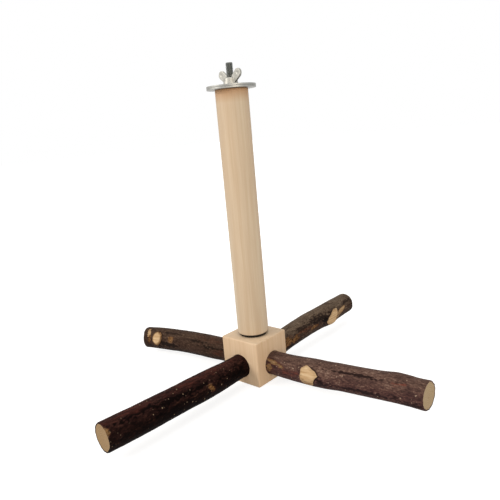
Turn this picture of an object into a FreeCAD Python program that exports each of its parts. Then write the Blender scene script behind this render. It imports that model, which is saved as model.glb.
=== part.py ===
import FreeCAD, Part
import math
import os
import Sketcher

# A hanging cross perch for a parrot. A turned wooden stem carries a wooden hub under its lower end,
# and the hub holds four natural branches. A threaded stud with two wide washers and a wing nut, on the
# stem's top, clamps it to the wires of a cage, and the hub swivels on a bolt under the stem.
# The origin is the middle of the hub's underside, with +Z up the stem and +X along the right branch.

doc = FreeCAD.newDocument("cross_perch")
sheet = doc.addObject("Spreadsheet::Sheet", "Sizes")

# Driving sizes, in millimetres and degrees: name, value, meaning.
SIZES = (
    ("HubSize", 40, "edge of the wooden hub block"),
    ("HubEdge", 1.2, "rounding of the hub's edges"),
    ("SocketHeight", 16, "branch sockets' centre above the hub's underside"),
    ("SocketWall", 1.3, "wood left between one socket's floor and its neighbour's side"),
    ("SocketClearance", 0.1, "glue gap around a tenon"),
    ("TenonRadius", 10.1, "branch radius inside its socket"),
    ("StemRadius", 13.5, "radius of the turned stem"),
    ("StemLength", 207, "length of the turned stem"),
    ("StemEdge", 0.8, "eased rims of the stem"),
    ("StudRadius", 3, "outer radius of the stud's thread at the stem's top"),
    ("StudReach", 20.3, "stud above the stem's top"),
    ("StudEase", 0.5, "chamfer on the ends of both bolts"),
    ("StudDepth", 28, "wood screw end of the stud inside the stem"),
    ("PointLength", 5, "tapered point of a wood screw end"),
    ("PointRadius", 0.8, "blunt tip of a wood screw end"),
    ("PilotClearance", 0.05, "gap around a thread that is cut in wood or metal"),
    ("FenderRadius", 20, "outer radius of the two wide washers"),
    ("FenderThickness", 1.5, "thickness of a wide washer"),
    ("WasherClearance", 0.2, "washer bore over its bolt, on the radius"),
    ("WasherEdge", 0.25, "rounding of the washers' outer rims"),
    ("NutBaseRadius", 6.2, "foot of the wing nut"),
    ("NutTopRadius", 5.4, "wing nut's boss under its crown"),
    ("NutCrownRadius", 4.2, "top of the boss's crown"),
    ("NutHeight", 6, "height of the wing nut's boss"),
    ("NutCrown", 1, "height of the boss's crown"),
    ("WingThickness", 2, "thickness of a wing"),
    ("WingRootOut", 2.6, "root circle of a wing, out from the axis"),
    ("WingRootRise", 3, "root circle of a wing, above the foot"),
    ("WingRootRadius", 2.8, "radius of the wing's root circle"),
    ("WingTipOut", 10, "tip circle of a wing, out from the axis"),
    ("WingTipRise", 8.6, "tip circle of a wing, above the foot"),
    ("WingTipRadius", 3.4, "radius of the wing's tip circle"),
    ("WingEdge", 0.6, "rounding of the wings' edges"),
    ("WingTurn", -7.5, "wings' direction at rest, about the stem's axis"),
    ("PivotWasherRadius", 12, "washer between hub and stem"),
    ("PivotWasherThickness", 2, "thickness of the washer between hub and stem"),
    ("PivotRadius", 3, "outer radius of the pivot bolt's thread"),
    ("PivotDepth", 28, "wood screw end of the pivot bolt inside the stem"),
    ("PivotTail", 0.6, "pivot bolt's lower end above the hub's underside"),
    ("PivotClearance", 0.1, "hub bore over the pivot bolt, on the radius"),
    ("PivotPlay", 0.2, "end play of the swivel"),
    ("CounterboreRadius", 8, "recess for the lock nut"),
    ("CounterboreDepth", 9, "depth of the recess for the lock nut"),
    ("NutWasherRadius", 6, "washer over the lock nut"),
    ("NutWasherThickness", 1.2, "thickness of the washer over the lock nut"),
    ("LockNutFlats", 10, "lock nut across its flats"),
    ("LockNutHeight", 6, "lock nut height"),
    ("LockRingRadius", 4.2, "outer radius of the lock nut's plastic ring"),
    ("LockRingHeight", 1.6, "height of the lock nut's plastic ring"),
    ("ScrewRadius", 1.5, "branch screw's thread radius"),
    ("ScrewHeadRadius", 3.2, "branch screw's countersunk head"),
    ("ScrewReach", 16, "branch screw's tip above the hub's underside"),
    ("ScrewTip", 3, "length of the branch screw's point"),
    ("ScrewSink", 0.3, "head below the hub's underside"),
    ("ScrewSetIn", 6, "branch screw in from the hub's side face"),
    ("RightLength", 140, "right branch beyond the hub's face, along its middle"),
    ("FrontLength", 139.8, "front branch beyond the hub's face, along its middle"),
    ("LeftLength", 112.8, "left branch beyond the hub's face, along its middle"),
    ("BackLength", 135, "back branch beyond the hub's face, along its middle"),
)
TOLERANCE = 1e-6

# Each branch runs out of its socket in the direction "along" (x, y), through four stations. A station
# says at what share of the branch's length it lies, how far it has wandered to the left of that
# direction, how far it has risen above the socket's centre, and the branch's radius there. "end_turn" is
# how many degrees the saw cut at its end looks to the left of that direction. A knot is the stub of a
# pruned twig: the station it grows at, its direction round the branch, measured from the left side through
# the top, its radius at the heart and at the cut, and how far the cut stands off the branch's axis.
STATIONS = ("Near", "Middle", "Far", "End")
MEASURES = ("Share", "Side", "Rise", "Radius")
KNOT_MEASURES = ("Angle", "HeartRadius", "CutRadius", "Stand")
BRANCHES = {
    "right": dict(
        along=(1, 0),
        shift=0.4,
        stations=(
            (0.31, 0.8, 1.2, 11.2),
            (0.54, 2.0, 3.4, 10.9),
            (0.77, 3.1, 5.3, 11.0),
            (1, 3.8, 6.5, 11.2),
        ),
        end_turn=0,
        knot=("Near", (162, 9.5, 6.5, 12.4)),
    ),
    "front": dict(
        along=(0, -1),
        shift=-0.3,
        stations=(
            (0.26, -0.3, 0.3, 11.1),
            (0.5, -0.6, 1.0, 11.1),
            (0.75, -1.2, 1.9, 11.1),
            (1, -2.1, 3.1, 11.1),
        ),
        end_turn=-7,
        knot=None,
    ),
    "left": dict(
        along=(-1, 0),
        shift=0.0,
        stations=(
            (0.27, 3.1, -0.3, 10.9),
            (0.57, 6.8, -0.5, 10.8),
            (0.825, 12.1, -0.6, 10.6),
            (1, 17.6, -0.7, 10.3),
        ),
        end_turn=15,
        knot=("Far", (22, 7.5, 5.0, 11.6)),
    ),
    "back": dict(
        along=(0, 1),
        shift=0.0,
        stations=(
            (0.24, 1.3, 1.9, 10.6),
            (0.46, 2.0, 3.0, 11.1),
            (0.69, 2.0, 3.0, 11.1),
            (1, 2.4, 3.7, 10.5),
        ),
        end_turn=0,
        knot=("Far", (182, 9.5, 7.0, 12.3)),
    ),
}


def fill_sheet():
    """Put every driving size in the sheet, one row each: name, value, meaning."""
    rows = list(SIZES)
    for name, branch in BRANCHES.items():
        side = name.capitalize()
        rows.append((side + "Shift", branch["shift"], name + " socket, to the left of its direction"))
        rows.append((side + "EndTurn", branch["end_turn"], name + " branch, turn of its end's saw cut"))
        for station, values in zip(STATIONS, branch["stations"]):
            for measure, value in zip(MEASURES, values):
                rows.append((side + station + measure, value, f"{name} branch, {station.lower()} station"))
        if branch["knot"]:
            for measure, value in zip(KNOT_MEASURES, branch["knot"][1]):
                rows.append((side + "Knot" + measure, value, f"{name} branch, pruned knot"))
    for row, (alias, value, meaning) in enumerate(rows, start=1):
        sheet.set(f"A{row}", alias)
        sheet.set(f"B{row}", str(value))
        sheet.setAlias(f"B{row}", alias)
        sheet.set(f"C{row}", meaning)
    doc.recompute()


# Sizes that follow from the driving ones, as expressions on the sheet.
HALF_HUB = "Sizes.HubSize / 2"
SOCKET_RADIUS = "(Sizes.TenonRadius + Sizes.SocketClearance)"
SOCKET_DEPTH = f"({HALF_HUB} - {SOCKET_RADIUS} - Sizes.SocketWall)"
STEM_BASE = "(Sizes.HubSize + Sizes.PivotWasherThickness)"
STEM_TOP = f"({STEM_BASE} + Sizes.StemLength)"
NUT_BASE = f"({STEM_TOP} + 2 * Sizes.FenderThickness)"
STUD_BORE = "(Sizes.StudRadius + Sizes.WasherClearance)"
PIVOT_BORE = "(Sizes.PivotRadius + Sizes.WasherClearance)"
STUD_THREAD_HOLE = "(Sizes.StudRadius + Sizes.PilotClearance)"
PIVOT_THREAD_HOLE = "(Sizes.PivotRadius + Sizes.PilotClearance)"
SCREW_HOLE = "(Sizes.ScrewRadius + Sizes.PilotClearance)"
NUT_WASHER_BASE = "(Sizes.CounterboreDepth - Sizes.PivotPlay - Sizes.NutWasherThickness)"
LOCK_NUT_BASE = f"({NUT_WASHER_BASE} - Sizes.LockNutHeight)"
SCREW_OUT = f"({HALF_HUB} - Sizes.ScrewSetIn)"


def new_body(name):
    body = doc.addObject("PartDesign::Body", name)
    body.Label = name
    return body


def plane(body, role):
    return next(p for p in body.Origin.OriginFeatures if p.Role == role)


def new_sketch(body, name, role="XY_Plane", offset="0"):
    """An empty sketch on one of the body's own planes, moved along that plane's normal."""
    sketch = body.newObject("Sketcher::SketchObject", name)
    sketch.AttachmentSupport = (plane(body, role), [""])
    sketch.MapMode = "FlatFace"
    sketch.setExpression("AttachmentOffset.Base.z", offset)
    return sketch


def bind(sketch, name, kind, *where, to):
    """Add a named dimension to a sketch and tie it to an expression."""
    index = sketch.addConstraint(Sketcher.Constraint(kind, *where))
    sketch.renameConstraint(index, name)
    sketch.setExpression("Constraints." + name, to)


def add_circle(sketch, radius, right="0", up="0", name="Circle"):
    """A circle whose radius and centre follow expressions."""
    centre = FreeCAD.Vector(1, 1, 0)
    circle = sketch.addGeometry(Part.Circle(centre, FreeCAD.Vector(0, 0, 1), 1), False)
    bind(sketch, name + "Radius", "Radius", circle, 1, to=radius)
    bind(sketch, name + "Right", "DistanceX", -1, 1, circle, 3, 1, to=right)
    bind(sketch, name + "Up", "DistanceY", -1, 1, circle, 3, 1, to=up)


def extrude(body, sketch, length, kind="Pad", reverse=False):
    """Pad or pocket a sketch by an expression, and see that it changed the solid."""
    before = body.Shape.Volume if body.Tip else 0
    feature = body.newObject("PartDesign::" + kind, sketch.Name + kind)
    feature.Profile = sketch
    feature.Reversed = reverse
    feature.setExpression("Length", length)
    doc.recompute()
    after = body.Shape.Volume
    if (kind == "Pad") != (after > before):
        raise RuntimeError(f"{feature.Name} adds or cuts nothing")
    return feature


def pad_circle(body, name, radius, base, height):
    sketch = new_sketch(body, name, offset=base)
    add_circle(sketch, radius)
    return extrude(body, sketch, height)


def cut_circle(body, name, radius, base, height):
    """A round hole up from the height base."""
    sketch = new_sketch(body, name, offset=base)
    add_circle(sketch, radius)
    return extrude(body, sketch, height, kind="Pocket", reverse=True)


def add_cone(body, name, radius1, radius2, height, base):
    """A cone added to a body, standing on the height base."""
    cone = body.newObject("PartDesign::AdditiveCone", name)
    cone.setExpression("Radius1", radius1)
    cone.setExpression("Radius2", radius2)
    cone.setExpression("Height", height)
    cone.setExpression("Placement.Base.z", base)
    doc.recompute()
    return cone


def edges_where(feature, test):
    """Names of the feature's edges that pass a test; the seams of its rounded corners have no curve."""
    edges = enumerate(feature.Shape.Edges, start=1)
    return [f"Edge{i}" for i, edge in edges if not edge.Degenerated and test(edge)]


def is_rim(edge, radius, height):
    """True for a level round edge of that radius at that height."""
    curve = edge.Curve
    round_edge = isinstance(curve, Part.Circle) and abs(curve.Radius - radius) < TOLERANCE
    return round_edge and abs(curve.Center.z - height) < TOLERANCE


def dress(body, name, kind, base, edges, size):
    """A fillet or chamfer on the base feature's edges, its size tied to an expression."""
    feature = body.newObject("PartDesign::" + kind, name)
    feature.Base = (base, edges)
    feature.setExpression("Radius" if kind == "Fillet" else "Size", size)
    doc.recompute()
    return feature


def make_washer(name, outer, bore, base, thickness):
    """A flat washer with a rounded outer rim."""
    body = new_body(name)
    sketch = new_sketch(body, name + "_ring", offset=base)
    add_circle(sketch, outer, name="Outer")
    add_circle(sketch, bore, name="Bore")
    disc = extrude(body, sketch, thickness)
    rim_radius = disc.Shape.BoundBox.XMax
    rims = edges_where(disc, lambda edge: getattr(edge.Curve, "Radius", 0) > rim_radius - TOLERANCE)
    dress(body, name + "_rim", "Fillet", disc, rims, "Sizes.WasherEdge")
    return body


def make_hanger_bolt(name, radius, base, top, point_up):
    """A bolt that is a machine thread at one end and a pointed wood screw at the other."""
    body = new_body(name)
    shank_base = base if point_up else f"({base} + Sizes.PointLength)"
    shank = pad_circle(body, name + "_shank", radius, shank_base, f"{top} - {base} - Sizes.PointLength")
    box = shank.Shape.BoundBox
    end = box.ZMin if point_up else box.ZMax
    rim = edges_where(shank, lambda edge: is_rim(edge, box.XMax, end))
    dress(body, name + "_end", "Chamfer", shank, rim, "Sizes.StudEase")
    radii = (radius, "Sizes.PointRadius") if point_up else ("Sizes.PointRadius", radius)
    point_base = f"{top} - Sizes.PointLength" if point_up else base
    add_cone(body, name + "_point", *radii, "Sizes.PointLength", point_base)
    return body


def make_stem():
    """The turned dowel, with a pilot hole for a wood screw in each end."""
    body = new_body("stem")
    dowel = pad_circle(body, "stem_dowel", "Sizes.StemRadius", STEM_BASE, "Sizes.StemLength")
    rims = edges_where(dowel, lambda edge: isinstance(edge.Curve, Part.Circle))
    dress(body, "stem_rims", "Chamfer", dowel, rims, "Sizes.StemEdge")
    cut_circle(body, "stem_top_hole", STUD_THREAD_HOLE, f"{STEM_TOP} - Sizes.StudDepth", "Sizes.StudDepth")
    cut_circle(body, "stem_bottom_hole", PIVOT_THREAD_HOLE, STEM_BASE, "Sizes.PivotDepth")
    return body


def place_on_side(branch):
    """The body plane parallel to the hub face that a branch leaves through, and the side it is on."""
    x, y = branch["along"]
    role = "YZ_Plane" if x else "XZ_Plane"
    sign = x if x else -y
    return role, sign


def make_hub():
    """The hub block: four sockets, the swivel bore with its nut recess, and four screw holes."""
    body = new_body("hub_block")
    sketch = new_sketch(body, "hub_outline")
    corners = [FreeCAD.Vector(x, y, 0) for x, y in ((-1, -1), (1, -1), (1, 1), (-1, 1))]
    for start, end in zip(corners, corners[1:] + corners[:1]):
        sketch.addGeometry(Part.LineSegment(start, end), False)
    for line in range(4):
        sketch.addConstraint(Sketcher.Constraint("Coincident", line, 2, (line + 1) % 4, 1))
        sketch.addConstraint(Sketcher.Constraint("Vertical" if line % 2 else "Horizontal", line))
    bind(sketch, "Width", "DistanceX", 0, 1, 0, 2, 1, to="Sizes.HubSize")
    bind(sketch, "Depth", "DistanceY", 1, 1, 1, 2, 1, to="Sizes.HubSize")
    bind(sketch, "HalfWidth", "DistanceX", -1, 1, 1, 1, 1, to=HALF_HUB)
    bind(sketch, "HalfDepth", "DistanceY", -1, 1, 2, 2, 1, to=HALF_HUB)
    block = extrude(body, sketch, "Sizes.HubSize")
    dress(body, "hub_edges", "Fillet", block, edges_where(block, lambda edge: True), "Sizes.HubEdge")
    for name, branch in BRANCHES.items():
        role, sign = place_on_side(branch)
        socket = new_sketch(body, name + "_socket", role, f"{sign} * {HALF_HUB}")
        add_circle(socket, SOCKET_RADIUS, f"{sign} * Sizes.{name.capitalize()}Shift", "Sizes.SocketHeight")
        extrude(body, socket, SOCKET_DEPTH, kind="Pocket", reverse=sign < 0)
    bore = "(Sizes.PivotRadius + Sizes.PivotClearance)"
    cut_circle(body, "hub_bore", bore, "0", "Sizes.HubSize")
    cut_circle(body, "hub_recess", "Sizes.CounterboreRadius", "0", "Sizes.CounterboreDepth")
    holes = new_sketch(body, "hub_screw_holes")
    for name in BRANCHES:
        right, up = screw_place(name)
        add_circle(holes, SCREW_HOLE, right, up, name=name.capitalize())
    drilled = extrude(body, holes, "Sizes.SocketHeight", kind="Pocket", reverse=True)
    hole_radius = sheet.get("ScrewRadius") + sheet.get("PilotClearance")
    rims = edges_where(drilled, lambda edge: is_rim(edge, hole_radius, 0))
    countersink = "Sizes.ScrewHeadRadius - Sizes.ScrewRadius + Sizes.ScrewSink"
    dress(body, "hub_countersinks", "Chamfer", drilled, rims, countersink)
    return body


def screw_place(name):
    """Where a branch's screw stands in the hub's underside, as expressions for x and y."""
    x, y = BRANCHES[name]["along"]
    shift = f"Sizes.{name.capitalize()}Shift"
    return f"{x} * {SCREW_OUT} - {y} * {shift}", f"{y} * {SCREW_OUT} + {x} * {shift}"


def station_out(side, station):
    """How far a station lies from the hub's axis, along its branch."""
    return f"{HALF_HUB} + {side}{station}Share * {side}Length"


def make_branch(name):
    """A natural branch, modelled along +X and turned into its own direction, with its tenon and knot."""
    branch = BRANCHES[name]
    side = "Sizes." + name.capitalize()
    body = new_body("branch_" + name)
    collar = new_sketch(body, name + "_collar", "YZ_Plane", HALF_HUB)
    add_circle(collar, "Sizes.TenonRadius", side + "Shift", "Sizes.SocketHeight")
    extrude(body, collar, SOCKET_DEPTH, reverse=True)
    sections = []
    for station in STATIONS:
        at = side + station
        out, across = station_out(side, station), at + "Side"
        if station == STATIONS[-1]:
            turn = f"({side}EndTurn * 1 deg)"
            out, across = f"{out} + {across} * tan({turn})", f"{across} / cos({turn})"
        section = new_sketch(body, name + "_" + station.lower(), "YZ_Plane", out)
        add_circle(section, at + "Radius", across, f"Sizes.SocketHeight + {at}Rise")
        sections.append(section)
    saw_cut = sections[-1].AttachmentOffset
    saw_cut.Rotation = FreeCAD.Rotation(FreeCAD.Vector(0, 1, 0), 1)
    sections[-1].AttachmentOffset = saw_cut
    sections[-1].setExpression("AttachmentOffset.Rotation.Angle", side + "EndTurn")
    wood = body.newObject("PartDesign::AdditiveLoft", name + "_wood")
    wood.Profile = collar
    wood.Sections = sections
    doc.recompute()
    if branch["knot"]:
        at = side + branch["knot"][0]
        knot = add_cone(body, name + "_knot", side + "KnotHeartRadius", side + "KnotCutRadius",
                        side + "KnotStand", f"Sizes.SocketHeight + {at}Rise")
        knot.Placement.Rotation = FreeCAD.Rotation(FreeCAD.Vector(1, 0, 0), 90)
        knot.setExpression("Placement.Rotation.Angle", side + "KnotAngle - 90")
        knot.setExpression("Placement.Base.x", station_out(side, branch["knot"][0]))
        knot.setExpression("Placement.Base.y", at + "Side")
        doc.recompute()
    pilot = new_sketch(body, name + "_pilot")
    add_circle(pilot, SCREW_HOLE, SCREW_OUT, side + "Shift")
    extrude(body, pilot, "Sizes.ScrewReach", kind="Pocket", reverse=True)
    x, y = branch["along"]
    body.Placement.Rotation = FreeCAD.Rotation(FreeCAD.Vector(0, 0, 1), math.degrees(math.atan2(y, x)))
    return body


def make_screws():
    """Four countersunk wood screws, one up into each tenon, in one group."""
    screws = []
    for name in BRANCHES:
        right, up = screw_place(name)
        head_height = "(Sizes.ScrewHeadRadius - Sizes.ScrewRadius)"
        neck = f"(Sizes.ScrewSink + {head_height})"
        shank_top = "(Sizes.ScrewReach - Sizes.ScrewTip)"
        head = doc.addObject("Part::Cone", name + "_screw_head")
        head.setExpression("Radius1", "Sizes.ScrewHeadRadius")
        head.setExpression("Radius2", "Sizes.ScrewRadius")
        head.setExpression("Height", head_height)
        shank = doc.addObject("Part::Cylinder", name + "_screw_shank")
        shank.setExpression("Radius", "Sizes.ScrewRadius")
        shank.setExpression("Height", f"{shank_top} - {neck}")
        tip = doc.addObject("Part::Cone", name + "_screw_tip")
        tip.setExpression("Radius1", "Sizes.ScrewRadius")
        tip.Radius2 = 0
        tip.setExpression("Height", "Sizes.ScrewTip")
        for piece, height in ((head, "Sizes.ScrewSink"), (shank, neck), (tip, shank_top)):
            piece.setExpression("Placement.Base.x", right)
            piece.setExpression("Placement.Base.y", up)
            piece.setExpression("Placement.Base.z", height)
        screw = doc.addObject("Part::MultiFuse", name + "_screw")
        screw.Shapes = [head, shank, tip]
        screws.append(screw)
    group = doc.addObject("Part::Compound", "branch_screws")
    group.Label = "branch_screws"
    group.Links = screws
    doc.recompute()
    return group


def make_lock_nut():
    """A hexagon nut, with the recess in its lower end that holds the plastic ring."""
    body = new_body("lock_nut")
    sketch = new_sketch(body, "lock_nut_hexagon", offset=LOCK_NUT_BASE)
    angles = [math.radians(turn) for turn in range(0, 360, 60)]
    corners = [FreeCAD.Vector(math.cos(angle), math.sin(angle), 0) for angle in angles]
    for start, end in zip(corners, corners[1:] + corners[:1]):
        sketch.addGeometry(Part.LineSegment(start, end), False)
    guide = sketch.addGeometry(Part.Circle(FreeCAD.Vector(0, 0, 0), FreeCAD.Vector(0, 0, 1), 1), True)
    sketch.addConstraint(Sketcher.Constraint("Coincident", guide, 3, -1, 1))
    for line in range(6):
        sketch.addConstraint(Sketcher.Constraint("Coincident", line, 2, (line + 1) % 6, 1))
        sketch.addConstraint(Sketcher.Constraint("PointOnObject", line, 1, guide))
    for line in range(5):
        sketch.addConstraint(Sketcher.Constraint("Equal", line, line + 1))
    sketch.addConstraint(Sketcher.Constraint("PointOnObject", 0, 1, -1))
    bind(sketch, "Corners", "Radius", guide, 1, to="Sizes.LockNutFlats / 2 / cos(30 deg)")
    extrude(body, sketch, "Sizes.LockNutHeight")
    cut_circle(body, "lock_nut_thread", PIVOT_THREAD_HOLE, LOCK_NUT_BASE, "Sizes.LockNutHeight")
    ring_seat = "(Sizes.LockRingRadius + Sizes.PilotClearance)"
    cut_circle(body, "lock_nut_seat", ring_seat, LOCK_NUT_BASE, "Sizes.LockRingHeight")
    return body


def make_lock_ring():
    """The plastic ring that grips the pivot bolt's thread."""
    body = new_body("lock_nut_ring")
    sketch = new_sketch(body, "lock_ring", offset=LOCK_NUT_BASE)
    add_circle(sketch, "Sizes.LockRingRadius", name="Outer")
    add_circle(sketch, PIVOT_THREAD_HOLE, name="Bore")
    extrude(body, sketch, "Sizes.LockRingHeight")
    return body


def make_wing_nut():
    """The wing nut: two lobed wings, a tapered boss with a crowned top, and a tapped hole."""
    body = new_body("wing_nut")
    wing = body.newObject("PartDesign::Pad", "wing_nut_wing")
    wing.Profile = wing_outline(body)
    wing.SideType = "Symmetric"
    wing.setExpression("Length", "Sizes.WingThickness")
    doc.recompute()
    outline = edges_where(wing, lambda edge: edge.BoundBox.YLength < TOLERANCE)
    dress(body, "wing_nut_edges", "Fillet", wing, outline, "Sizes.WingEdge")
    pair = body.newObject("PartDesign::PolarPattern", "wing_nut_wings")
    pair.TransformMode = "Whole shape"
    pair.Axis = (plane(body, "Z_Axis"), [""])
    pair.Angle = 360
    pair.Occurrences = 2
    body.Tip = pair
    doc.recompute()
    crown = "(Sizes.NutHeight - Sizes.NutCrown)"
    add_cone(body, "wing_nut_boss", "Sizes.NutBaseRadius", "Sizes.NutTopRadius", crown, NUT_BASE)
    add_cone(body, "wing_nut_crown", "Sizes.NutTopRadius", "Sizes.NutCrownRadius", "Sizes.NutCrown",
             f"{NUT_BASE} + {crown}")
    wing_height = "Sizes.WingTipRise + Sizes.WingTipRadius"
    cut_circle(body, "wing_nut_thread", STUD_THREAD_HOLE, NUT_BASE, wing_height)
    body.Placement.Rotation = FreeCAD.Rotation(FreeCAD.Vector(0, 0, 1), 90)
    body.setExpression("Placement.Rotation.Angle", "Sizes.WingTurn")
    return body


def wing_outline(body):
    """A wing's outline: a small root circle and a larger tip circle, joined by their tangents."""
    sketch = new_sketch(body, "wing_outline", "XZ_Plane")
    base = sheet.get("HubSize") + sheet.get("PivotWasherThickness") + sheet.get("StemLength")
    base += 2 * sheet.get("FenderThickness")
    root = FreeCAD.Vector(sheet.get("WingRootOut"), base + sheet.get("WingRootRise"), 0)
    tip = FreeCAD.Vector(sheet.get("WingTipOut"), base + sheet.get("WingTipRise"), 0)
    small, large = sheet.get("WingRootRadius"), sheet.get("WingTipRadius")
    run = tip - root
    heading = math.atan2(run.y, run.x)
    spread = math.acos((small - large) / run.Length)
    normal = FreeCAD.Vector(0, 0, 1)
    low, high = heading - spread, heading + spread
    arcs = (
        Part.ArcOfCircle(Part.Circle(tip, normal, large), low, high),
        Part.ArcOfCircle(Part.Circle(root, normal, small), high, low + 2 * math.pi),
    )
    upper = Part.LineSegment(arcs[0].EndPoint, arcs[1].StartPoint)
    lower = Part.LineSegment(arcs[1].EndPoint, arcs[0].StartPoint)
    for piece in (arcs[0], upper, arcs[1], lower):
        sketch.addGeometry(piece, False)
    for piece in range(4):
        sketch.addConstraint(Sketcher.Constraint("Tangent", piece, 2, (piece + 1) % 4, 1))
    for name, arc in (("Tip", 0), ("Root", 2)):
        bind(sketch, name + "Radius", "Radius", arc, 1, to=f"Sizes.Wing{name}Radius")
        bind(sketch, name + "Out", "DistanceX", -1, 1, arc, 3, 1, to=f"Sizes.Wing{name}Out")
        bind(sketch, name + "Rise", "DistanceY", -1, 1, arc, 3, 1, to=f"{NUT_BASE} + Sizes.Wing{name}Rise")
    return sketch


fill_sheet()

seat_top = f"({STEM_TOP} + Sizes.FenderThickness)"
parts = [make_stem()]
parts.append(make_hanger_bolt("hanger_bolt", "Sizes.StudRadius", f"({STEM_TOP} - Sizes.StudDepth)",
                              f"({STEM_TOP} + Sizes.StudReach)", point_up=False))
parts.append(make_washer("seat_washer", "Sizes.FenderRadius", STUD_BORE, STEM_TOP, "Sizes.FenderThickness"))
parts.append(make_washer("cage_washer", "Sizes.FenderRadius", STUD_BORE, seat_top, "Sizes.FenderThickness"))
parts.append(make_wing_nut())
parts.append(make_washer("pivot_washer", "Sizes.PivotWasherRadius", PIVOT_BORE, "Sizes.HubSize",
                         "Sizes.PivotWasherThickness"))
parts.append(make_hanger_bolt("pivot_bolt", "Sizes.PivotRadius", "Sizes.PivotTail",
                              f"({STEM_BASE} + Sizes.PivotDepth)", point_up=True))
parts.append(make_washer("nut_washer", "Sizes.NutWasherRadius", PIVOT_BORE, NUT_WASHER_BASE,
                         "Sizes.NutWasherThickness"))
parts.append(make_lock_nut())
parts.append(make_lock_ring())
parts.append(make_hub())
for branch_name in BRANCHES:
    parts.append(make_branch(branch_name))
parts.append(make_screws())

doc.recompute()
for thing in doc.Objects:
    if "Invalid" in thing.State or "Error" in thing.State:
        raise RuntimeError(f"{thing.Name} did not compute: {thing.State}")
for piece in parts:
    if piece.Shape.isNull() or not piece.Shape.isValid():
        raise RuntimeError(f"{piece.Label} has no valid shape")

os.makedirs("parts", exist_ok=True)
for piece in parts:
    piece.Shape.exportStep(f"parts/{piece.Label}.step")
    box = piece.Shape.optimalBoundingBox()
    print(f"{piece.Label:14s} {len(piece.Shape.Solids)} solid(s) {piece.Shape.Volume:10.1f} mm3 "
          f"z {box.ZMin:.2f} to {box.ZMax:.2f}")
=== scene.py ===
# A hanging cross perch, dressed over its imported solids: a turned stem, a wooden hub, four branches with
# their bark on, and the plated bolts, washers and wing nut that hold them together.
import bmesh
import bpy
import math
import numpy as np
from mathutils import Matrix, Vector, noise


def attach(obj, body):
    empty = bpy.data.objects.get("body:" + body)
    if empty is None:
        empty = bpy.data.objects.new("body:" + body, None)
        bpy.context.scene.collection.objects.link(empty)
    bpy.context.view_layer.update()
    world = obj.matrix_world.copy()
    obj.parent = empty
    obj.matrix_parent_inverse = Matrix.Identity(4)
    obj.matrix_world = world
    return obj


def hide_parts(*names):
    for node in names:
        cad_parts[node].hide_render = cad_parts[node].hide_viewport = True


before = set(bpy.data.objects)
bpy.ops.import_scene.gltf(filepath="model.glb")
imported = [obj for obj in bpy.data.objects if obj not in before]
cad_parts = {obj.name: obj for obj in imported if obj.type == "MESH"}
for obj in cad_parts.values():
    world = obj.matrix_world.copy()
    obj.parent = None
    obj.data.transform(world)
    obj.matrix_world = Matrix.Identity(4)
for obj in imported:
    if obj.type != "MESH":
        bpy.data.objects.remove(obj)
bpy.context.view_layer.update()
mm = 0.001
tiny = 1e-6
print("frame loaded")


# Working by hand in object and edit mode

def deselectAll():
    for thing in bpy.context.selected_objects:
        thing.select_set(False)


def namePiece(name):
    # the primitive that was just added, with its place put in its mesh
    piece = bpy.context.active_object
    piece.name = piece.data.name = name
    bpy.ops.object.transform_apply(location=True, rotation=True, scale=True)
    return piece


def activate(piece):
    deselectAll()
    piece.select_set(True)
    bpy.context.view_layer.objects.active = piece


def turnPiece(piece, degrees):
    # turns a piece about the swivel axis and puts the turn in its mesh
    activate(piece)
    piece.rotation_euler.z = math.radians(degrees)
    bpy.ops.object.transform_apply(location=True, rotation=True, scale=True)


def joinPieces(pieces):
    activate(pieces[0])
    for piece in pieces[1:]:
        piece.select_set(True)
    bpy.ops.object.join()
    return pieces[0]


def selectWhere(piece, kind, test):
    # goes into edit mode with just those vertices, edges or faces selected that pass the test
    bpy.ops.object.mode_set(mode="EDIT")
    bpy.ops.mesh.select_mode(type=kind)
    bpy.ops.mesh.select_all(action="DESELECT")
    mesh = bmesh.from_edit_mesh(piece.data)
    items = {"VERT": mesh.verts, "EDGE": mesh.edges, "FACE": mesh.faces}[kind]
    for item in items:
        if test(item):
            item.select_set(True)
    mesh.select_flush_mode()
    bmesh.update_edit_mesh(piece.data)


def leaveEdit():
    bpy.ops.object.mode_set(mode="OBJECT")


def addRings(piece, axis, counts):
    # cuts the sides of a cylinder into rings, pass by pass
    for count in counts:
        selectWhere(piece, "EDGE", lambda edge: abs(edge.verts[0].co[axis] - edge.verts[1].co[axis]) > tiny)
        bpy.ops.mesh.subdivide(number_cuts=count)
    leaveEdit()


def applyModifier(piece, kind, **settings):
    activate(piece)
    modifier = piece.modifiers.new(kind, kind)
    for name, value in settings.items():
        setattr(modifier, name, value)
    bpy.ops.object.modifier_apply(modifier=modifier.name)


def carve(piece, cutter, operation="DIFFERENCE"):
    applyModifier(piece, "BOOLEAN", operation=operation, solver="EXACT", object=cutter)
    bpy.data.objects.remove(cutter)


def addCylinder(name, radius, low, high, sides=64, place=(0, 0), along="z"):
    # low and high lie on the axis it stands along; all sizes in millimetres
    deselectAll()
    middle = (low + high) / 2
    x, y = place
    where = {"z": (x, y, middle), "x": (middle, x, y), "y": (x, middle, y)}[along]
    turn = {"z": (0, 0, 0), "x": (0, math.pi / 2, 0), "y": (math.pi / 2, 0, 0)}[along]
    bpy.ops.mesh.primitive_cylinder_add(
        vertices=sides, radius=radius * mm, depth=(high - low) * mm, rotation=turn,
        location=[value * mm for value in where], end_fill_type="NGON")
    return namePiece(name)


def readPoints(piece):
    points = np.empty(len(piece.data.vertices) * 3)
    piece.data.vertices.foreach_get("co", points)
    return points.reshape(-1, 3) / mm


def writePoints(piece, points):
    piece.data.vertices.foreach_set("co", (points * mm).ravel())
    piece.data.update()


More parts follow.
